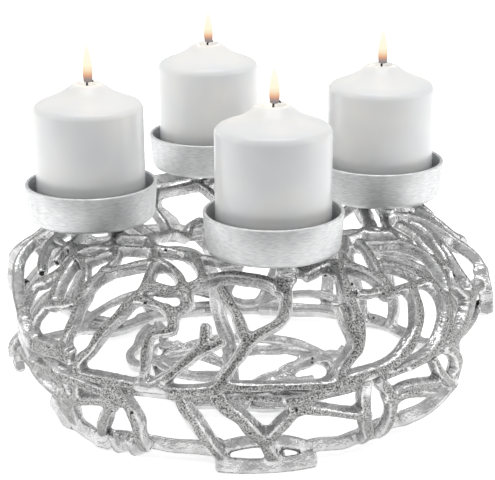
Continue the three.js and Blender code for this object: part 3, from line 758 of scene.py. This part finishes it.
class Casting:
    """A block of space that holds, on a grid, the distance to the surface of a casting."""

    def __init__(self, low, high):
        self.low = np.array(low, float)
        size = np.ceil((np.array(high) - low) / VOXEL).astype(int) + 1
        self.field = np.full(size, FAR, np.float32)

    def block(self, low, high, inside=None):
        """The grid cells from one corner to the other and their coordinates, kept within
        another block if one is given."""
        start = [s.start for s in inside] if inside else [0, 0, 0]
        stop = [s.stop for s in inside] if inside else self.field.shape
        first = np.clip(np.floor((low - self.low) / VOXEL).astype(int), start, stop)
        last = np.clip(np.ceil((high - self.low) / VOXEL).astype(int) + 1, first, stop)
        spans = tuple(slice(a, b) for a, b in zip(first, last))
        marks = [
            self.low[k] + VOXEL * np.arange(first[k], last[k], dtype=np.float32) for k in range(3)
        ]
        return spans, np.ix_(*marks)

    def add_twig(self, width, depth, places):
        """A twig along its places, which melts into what is already there."""
        points, out = on_skin(smooth_places(places))
        along = unit(np.gradient(points, axis=0))
        side = unit(np.cross(along, out))
        out = np.cross(side, along)
        margin = np.hypot(width, depth) / 2 + FILLET
        spans, _ = self.block(points.min(0) - 2 * margin, points.max(0) + 2 * margin)
        corner = [s.start for s in spans]
        twig = np.full([s.stop - s.start for s in spans], FAR, np.float32)
        pace, start = rng.uniform(0.5, 0.9), rng.uniform(0, 6)
        swell = MEAN_FULLNESS + SWELL * np.sin(np.arange(len(points)) * pace + start)
        for k in range(len(points) - 1):
            a, step = points[k], points[k + 1] - points[k]
            middles = np.stack([points[j] - out[j] * depth / 2 for j in (k, k + 1)])
            here, (x, y, z) = self.block(middles.min(0) - margin, middles.max(0) + margin, spans)
            x, y, z = x - a[0], y - a[1], z - a[2]
            length = np.linalg.norm(step)
            share = (x * step[0] + y * step[1] + z * step[2]) / length ** 2
            t = np.clip(share, 0, 1)

            def offset(start, end):
                turn = end - start
                at_start = x * start[0] + y * start[1] + z * start[2] - t * (step @ start)
                return at_start + t * (x * turn[0] + y * turn[1] + z * turn[2] - t * (step @ turn))

            across, above = offset(side[k], side[k + 1]), offset(out[k], out[k + 1])
            section = bar_distance(across, above, width * swell[k], depth)
            beyond = (share - t) * length
            distance = np.hypot(np.maximum(section + END_ROUNDING, 0), beyond) - END_ROUNDING
            part = twig[tuple(slice(s.start - c, s.stop - c) for s, c in zip(here, corner))]
            np.minimum(part, distance, out=part)
        self.field[spans] = soft_min(self.field[spans], twig, FILLET)

    def add_bead(self, foot, top, radius):
        """A weld bead that stands on the twigs under a cup."""
        spans, (x, y, z) = self.block(foot - radius - 6, foot + radius + 6)
        uneven = 1 + BEAD_SWELL * np.sin(0.9 * z)
        sides = np.hypot(x - foot[0], y - foot[1]) - radius * uneven
        bead = np.maximum(sides, np.abs(z - (foot[2] + top) / 2) - (top - foot[2]) / 2 - 1)
        self.field[spans] = soft_min(self.field[spans], bead, 2 * FILLET)

    def clear_cup(self, centre, radius):
        """Cut the room that a cup takes, from its underside up."""
        reach = np.array([radius + 3, radius + 3, 20])
        spans, (x, y, z) = self.block(centre - reach, centre + reach)
        room = np.maximum(np.hypot(x - centre[0], y - centre[1]) - radius, centre[2] - z)
        self.field[spans] = np.maximum(self.field[spans], -room)

    def hollow(self, end, inward, radius):
        """Sink a round hollow into the end of a twig."""
        step = unit(inward - end) * HOLLOW_REACH
        margin = 4
        low, high = np.minimum(end - step, end + step), np.maximum(end - step, end + step)
        spans, (x, y, z) = self.block(low - margin, high + margin)
        x, y, z = x - end[0], y - end[1], z - end[2]
        t = np.clip((x * step[0] + y * step[1] + z * step[2]) / (step @ step), -1, 1)
        bore = np.sqrt(
            (x - t * step[0]) ** 2 + (y - t * step[1]) ** 2 + (z - t * step[2]) ** 2
        ) - radius
        self.field[spans] = -soft_min(-self.field[spans], bore, HOLLOW_ROUNDING)

    def cut_below_floor(self):
        """Make the feet flat on the floor."""
        heights = self.low[2] + VOXEL * np.arange(self.field.shape[2], dtype=np.float32)
        np.maximum(self.field, -heights, out=self.field)

    def surface(self):
        """One point in each cell that the surface crosses, and a quad round each crossed edge."""
        inside = self.field < 0
        size = np.array(inside.shape) - 1
        units = np.eye(3, dtype=int)
        corners = [np.array((i, j, k)) for i in (0, 1) for j in (0, 1) for k in (0, 1)]
        filled = np.zeros(size, np.uint8)
        for corner in corners:
            filled += inside[tuple(slice(c, c + s) for c, s in zip(corner, size))]
        cells = np.argwhere((filled > 0) & (filled < 8))
        number = np.full(size, -1, np.int32)
        number[tuple(cells.T)] = np.arange(len(cells))
        total, hits = np.zeros((len(cells), 3)), np.zeros(len(cells))
        for axis in range(3):
            for corner in corners:
                if corner[axis]:
                    continue
                a = self.field[tuple((cells + corner).T)]
                b = self.field[tuple((cells + corner + units[axis]).T)]
                crossed = (a < 0) != (b < 0)
                share = np.where(crossed, a / np.where(crossed, a - b, 1), 0)
                total += crossed[:, None] * (corner + share[:, None] * units[axis])
                hits += crossed
        points = self.low + VOXEL * (cells + total / hits[:, None])
        quads = []
        for axis in range(3):
            p, q = units[(axis + 1) % 3], units[(axis + 2) % 3]
            ahead = np.roll(inside, -1, axis)
            edges = np.argwhere((inside != ahead)[tuple(slice(1, s) for s in size)]) + 1
            ring = [number[tuple((edges - shift).T)] for shift in (p + q, q, 0 * p, p)]
            quad = np.column_stack(ring)
            leaving = inside[tuple(edges.T)]
            quads.append(np.where(leaving[:, None], quad, quad[:, ::-1]))
        return points, np.vstack(quads)


def open_edges(quads):
    """The edges that only one quad has, in the quad's own direction."""
    edges = {(a, b) for quad in quads for a, b in zip(quad, quad[1:] + quad[:1])}
    return [(a, b) for a, b in edges if (b, a) not in edges]


def closing_fans(points, quads):
    """Fans of triangles that close each cut through a twig, round a new point in its middle."""
    edges = open_edges(quads)
    group = {a: a for edge in edges for a in edge}

    def root(a):
        while group[a] != a:
            group[a] = group[group[a]]
            a = group[a]
        return a

    for a, b in edges:
        group[root(a)] = root(b)
    loops = {}
    for a, b in edges:
        loops.setdefault(root(a), []).append((a, b))
    middles, fans = [], []
    for loop in loops.values():
        middles.append(points[[a for a, b in loop]].mean(0))
        fans += [(b, a, len(points) + len(middles) - 1) for a, b in loop]
    return middles, fans


def cast_pieces(casting, name, replaced):
    """The casting's surface as a closed piece for each of its sectors."""
    points, quads = casting.surface()
    corners = points[quads]
    facing = np.cross(corners[:, 2] - corners[:, 0], corners[:, 3] - corners[:, 1])
    normals = unit(np.column_stack([
        sum(np.bincount(quads[:, k], facing[:, axis], len(points)) for k in range(4))
        for axis in range(3)
    ]))
    middle = corners.mean(1)
    turn = np.degrees(np.arctan2(middle[:, 1], middle[:, 0])) - CUP_TURN + 180 / SECTORS
    sector = np.floor((turn % 360) / (360 / SECTORS)).astype(int)
    for k in range(SECTORS):
        used, faces = np.unique(quads[sector == k], return_inverse=True)
        faces = [tuple(face) for face in faces.reshape(-1, 4).tolist()]
        middles, fans = closing_fans(points[used], faces)
        own_normals = np.vstack([normals[used]] + [np.array([[0, 0, 1.0]])] * len(middles))
        piece = new_piece(
            f"{name}_{k + 1}",
            np.vstack([points[used]] + [[m] for m in middles]), faces + fans,
            SAND_CAST, [f"{node}_{k + 1}" for node in replaced],
        )
        piece.data.normals_split_custom_set_from_vertices(own_normals.tolist())


def make_castings():
    near = DOME_LEFT + DOME_FRONT + DOME_RIGHT + DOME_TOP + [SEAM]
    shoots = DOME_LEFT_SHOOTS + DOME_FRONT_SHOOTS + DOME_RIGHT_SHOOTS
    inner = LEFT_RIM + RIGHT_RIM + HOLE_STRUTS + INNER_BARS
    dome = Casting(*DOME_BLOCK)
    for twig in near + half_turned(near) + shoots + inner:
        dome.add_twig(*twig)
    for quarter in range(4):
        dome.add_twig(*seat_twig(CUP_TURN + 90 * quarter))
    dome.add_twig(*hoop(over=238, swing=2, waves=5, width=9, depth=8, out=8))
    for around, over, quarter in WELD_BEADS:
        dome.add_bead(skin_place(around, over, BEAD_ROOT), CUP_HEIGHTS[quarter], BEAD_RADIUS)
    for quarter in range(4):
        dome.clear_cup(cup_place(quarter) - (0, 0, GAP), CUP_RIM_RADIUS + 1)
    for end, further in HOLLOW_ENDS:
        dome.hollow(
            skin_place(*end, HOLLOW_ROOT), skin_place(*further, HOLLOW_ROOT), HOLLOW_RADIUS,
        )
    dome.cut_below_floor()
    cast_pieces(dome, "dome_casting", ["dome_twigs", "hole_twigs"])

    skirt = Casting(*SKIRT_BLOCK)
    legs = SKIRT_LEGS + FOOT_RING
    for twig in legs + half_turned(legs) + SKIRT_SHOOTS + [BACK_BAR]:
        skirt.add_twig(*twig)
    skirt.cut_below_floor()
    cast_pieces(skirt, "skirt_casting", ["skirt_twigs"])


make_castings()


# Cups, candles, wicks and flames

ROUND_STEPS = 144
FLAME_STEPS = 48

# Each candle is turned by this from the last, so that no two domes look alike
CANDLE_TURN = 70


def lathe(profile, steps=ROUND_STEPS, shape=None):
    """A closed solid turned from its profile of radii and heights, which starts and ends on the
    axis. shape may move the points of each ring."""
    radii = np.array([radius for radius, _ in profile[1:-1]])
    heights = np.array([height for _, height in profile[1:-1]])
    angles = np.radians(np.arange(steps) * 360 / steps)
    rings = np.stack([
        radii[:, None] * np.cos(angles), radii[:, None] * np.sin(angles),
        heights[:, None] + 0 * angles,
    ], axis=-1)
    if shape:
        rings = shape(rings, angles)
    low, high = (0, 0, profile[0][1]), (0, 0, profile[-1][1])
    vertices = np.vstack([rings.reshape(-1, 3), [low], [high]])
    first, last = len(vertices) - 2, len(vertices) - 1
    faces = []
    for k in range(len(radii) - 1):
        for j in range(steps):
            right = (j + 1) % steps
            faces.append((
                k * steps + j, k * steps + right, (k + 1) * steps + right, (k + 1) * steps + j,
            ))
    top = (len(radii) - 1) * steps
    for j in range(steps):
        right = (j + 1) % steps
        faces.append((right, j, first))
        faces.append((top + j, top + right, last))
    return vertices, faces


def arc(centre, radius, start, end, steps):
    """Points on an arc of the profile, with its angles in degrees."""
    turn = np.radians(np.linspace(start, end, steps + 1))
    return [(centre[0] + radius * math.cos(a), centre[1] + radius * math.sin(a)) for a in turn]


def cup_profile():
    """A cup's section: flat foot, rounded heel, flared wall, a rim turned half round."""
    heel, lip, inner = 4.5, CUP_WALL / 2, 3
    base = CUP_BASE_RADIUS
    return (
        [(0, 0), (base - heel, 0)]
        + arc((base - heel, heel), heel, -82, -3, 7)
        + [(base + 1.1, CUP_HEIGHT / 2)]
        + arc((CUP_RIM_RADIUS - lip, CUP_HEIGHT - lip), lip, 0, 180, 8)
        + [(base - CUP_WALL + 1.1, CUP_HEIGHT / 2), (base - CUP_WALL, CUP_FLOOR + inner)]
        + arc((base - CUP_WALL - inner, CUP_FLOOR + inner), inner, 0, -90, 5)
        + [(0, CUP_FLOOR)]
    )


def candle_profile():
    """A candle's section: straight side, soft shoulder, a dome that steepens towards the middle
    and the shallow pool of melted wax round the wick."""
    shoulder, edge, edge_drop = CANDLE_SHOULDER, 6, 2.9
    dome = [
        (34.6, 3.5), (30.8, 4.9), (27.2, 6.3), (24, 7.7), (21.2, 9.1), (18.6, 10.6), (16.3, 12.2),
        (14.3, 13.8), (12.5, 15.2), (10.8, 16.3), (9.2, 16.8), (7.8, 16.5), (6.2, 15.4),
        (4.2, 14.1), (2.2, 13.5),
    ]
    return (
        [(0, 0), (CANDLE_RADIUS - 0.8, 0), (CANDLE_RADIUS, 0.8), (CANDLE_RADIUS, shoulder - 20)]
        + arc((CANDLE_RADIUS - edge, shoulder - edge_drop), edge, 0, 72, 10)
        + [(radius, shoulder + height) for radius, height in dome]
        + [(0, shoulder + CANDLE_DOME - MELT_DEPTH)]
    )


def melted(rings, angles):
    """The dome of a burnt candle, which has run a little unevenly."""
    high = np.clip((rings[..., 2] - CANDLE_SHOULDER) / CANDLE_DOME, 0, 1)
    sway = 0.5 * np.sin(2 * angles + 0.6) + 0.35 * np.sin(3 * angles + 2.2)
    rings = rings.copy()
    rings[..., 2] += high * (1 - high) * 2.2 * sway
    return rings


def tube(path, radii, sides=14):
    """A closed round tube along a path."""
    path, radii = np.asarray(path, float), np.asarray(radii, float)
    along = unit(np.gradient(path, axis=0))
    side = unit(np.cross(along, [0, 1, 0.001]))
    front = np.cross(side, along)
    angles = np.radians(np.arange(sides) * 360 / sides)
    rings = path[:, None] + radii[:, None, None] * (
        np.cos(angles)[None, :, None] * side[:, None]
        + np.sin(angles)[None, :, None] * front[:, None]
    )
    faces = []
    for k in range(len(path) - 1):
        for j in range(sides):
            right = (j + 1) % sides
            faces.append((
                k * sides + j, (k + 1) * sides + j, (k + 1) * sides + right, k * sides + right,
            ))
    faces.append(tuple(range(sides)))
    faces.append(tuple((len(path) - 1) * sides + j for j in reversed(range(sides))))
    return rings.reshape(-1, 3), faces


def wick_path(curl):
    """From the pool of wax up and over to +X, as a wick trims itself in its flame."""
    knots = [
        (0, 0, -MELT_DEPTH - 6), (0, 0, -MELT_DEPTH + 0.4), (0, 0, -0.8), (0.5, 0, 0.7),
        (1.7, 0, 1.7), (3.1, 0, 1.6), (4.0, 0, 0.9),
    ]
    rows = smooth_places([(x * curl, y, z) for x, y, z in knots])
    share = np.linspace(0, 1, 24) * (len(rows) - 1)
    return np.column_stack([np.interp(share, np.arange(len(rows)), rows[:, k]) for k in range(3)])


# Flames: foot over the candle's top and to one side of its middle, tip over the floor at one height
# for all four. The tip is as high as the visual model may go.
FLAME_FOOT = 0.5
FLAME_ASIDE = 0.8
FLAME_TIP = 273.9
FLAME_RADIUS = 3.5
FLAME_LIGHT_HEIGHT = 9


def flame_profile(height):
    """A flame's section: a broad foot round the wick, fullest a third up, a long pointed tip."""
    rows = [
        (0.0, 0.0), (0.7, 0.005), (0.88, 0.03), (0.94, 0.1), (1.0, 0.22), (1.0, 0.36),
        (0.93, 0.5), (0.8, 0.64), (0.62, 0.77), (0.42, 0.88), (0.22, 0.955), (0.0, 1.0),
    ]
    return [(radius * FLAME_RADIUS, share * height) for radius, share in rows]


def make_candles():
    cup, candle = lathe(cup_profile()), lathe(candle_profile(), shape=melted)
    for quarter in range(4):
        k = quarter + 1
        seat = cup_place(quarter)
        foot = seat + (0, 0, CUP_FLOOR + GAP)
        top = foot + (0, 0, CANDLE_SHOULDER + CANDLE_DOME)
        new_piece(
            f"cup_{k}", cup[0] + seat, cup[1], TURNED, [f"candle_cup_{k}"],
        )
        turn = math.radians(CANDLE_TURN * quarter)
        spin = np.array([
            [math.cos(turn), -math.sin(turn), 0], [math.sin(turn), math.cos(turn), 0], [0, 0, 1],
        ])
        new_piece(f"pillar_{k}", candle[0] @ spin.T + foot, candle[1], WAX, [f"candle_{k}"])
        path = wick_path(1 + 0.1 * quarter)
        # A knotty wick that burns down to a thin end
        radii = WICK_RADIUS * (1 + 0.12 * np.sin(np.arange(len(path)) * 1.7))
        radii[-2:] *= (0.8, 0.45)
        vertices, faces = tube(path, radii)
        new_piece(f"burnt_wick_{k}", vertices + top, faces, COTTON, [f"wick_{k}"])
        foot = top + (FLAME_ASIDE, 0, FLAME_FOOT)
        flame = lathe(flame_profile(FLAME_TIP - foot[2]), FLAME_STEPS)
        burning = new_piece(f"flame_{k}", flame[0] + foot, flame[1], FLAME)
        burning.visible_shadow = False
        flame_light(f"flame_light_{k}", top + (0, 0, FLAME_LIGHT_HEIGHT))


def flame_light(name, place):
    light = bpy.data.lights.new(name, "POINT")
    light.energy = 0.012
    light.color = linear("#ffe2b8")[:3]
    light.shadow_soft_size = 3 * MM
    lamp = bpy.data.objects.new(name, light)
    lamp.location = Vector(place) * MM
    bpy.context.scene.collection.objects.link(lamp)


make_candles()


# Floor and light

def make_floor():
    """A flat sheet of white paper that glows from the wreath backwards, so that it fills the
    background. More than half a metre in front of the wreath it turns dark grey."""
    reach = 8000
    mesh = bpy.data.meshes.new("floor")
    corners = [(-reach, -reach, 0), (reach, -reach, 0), (reach, reach, 0), (-reach, reach, 0)]
    mesh.from_pydata([tuple(c * MM for c in corner) for corner in corners], [], [(0, 1, 2, 3)])
    material, tree, output = new_material("white_paper")
    at = add(tree, "NewGeometry").outputs["Position"]
    depth = add(tree, "SeparateXYZ", {0: at}).outputs["Y"]
    glow = add(tree, "MapRange", {
        "Value": depth, "From Min": -0.5, "From Max": -0.2, "To Min": 0.0, "To Max": 0.6,
    })
    paper = add(tree, "MapRange", {"Value": depth, "From Min": -0.6, "From Max": -0.4})
    tone = add(tree, "Mix", {
        "Factor": paper.outputs["Result"], "A": linear("#4a4a4a"), "B": linear("#f6f6f6"),
    }, data_type="RGBA")
    surface = add(tree, "BsdfPrincipled", {
        "Base Color": tone.outputs[2], "Roughness": 0.9, "Specular IOR Level": 0.0,
        "Emission Color": (1, 1, 1, 1), "Emission Strength": glow.outputs["Result"],
    })
    tree.links.new(surface.outputs["BSDF"], output.inputs["Surface"])
    mesh.materials.append(material)
    floor = bpy.data.objects.new("floor", mesh)
    bpy.context.scene.collection.objects.link(floor)


def softbox(name, place, size, power, target=(0, 0, 100)):
    light = bpy.data.lights.new(name, "AREA")
    light.shape = "RECTANGLE"
    light.size, light.size_y = (s * MM for s in size)
    light.energy = power
    lamp = bpy.data.objects.new(name, light)
    toward = (Vector(target) - Vector(place)).to_track_quat("-Z", "Y").to_matrix().to_4x4()
    lamp.matrix_world = Matrix.Translation(Vector(place) * MM) @ toward
    bpy.context.scene.collection.objects.link(lamp)


def make_light():
    world = bpy.data.worlds.new("studio")
    world.use_nodes = True
    bpy.context.scene.world = world
    background = world.node_tree.nodes["Background"]
    background.inputs["Color"].default_value = (1, 1, 1, 1)
    background.inputs["Strength"].default_value = 0.75
    softbox("overhead", (0, -100, 1500), (1300, 420), 5.5)
    softbox("left", (-1300, -300, 700), (500, 900), 1.9)
    softbox("right", (1300, -300, 700), (500, 900), 2.5)


make_floor()
make_light()
bpy.context.scene.view_settings.view_transform = "Standard"
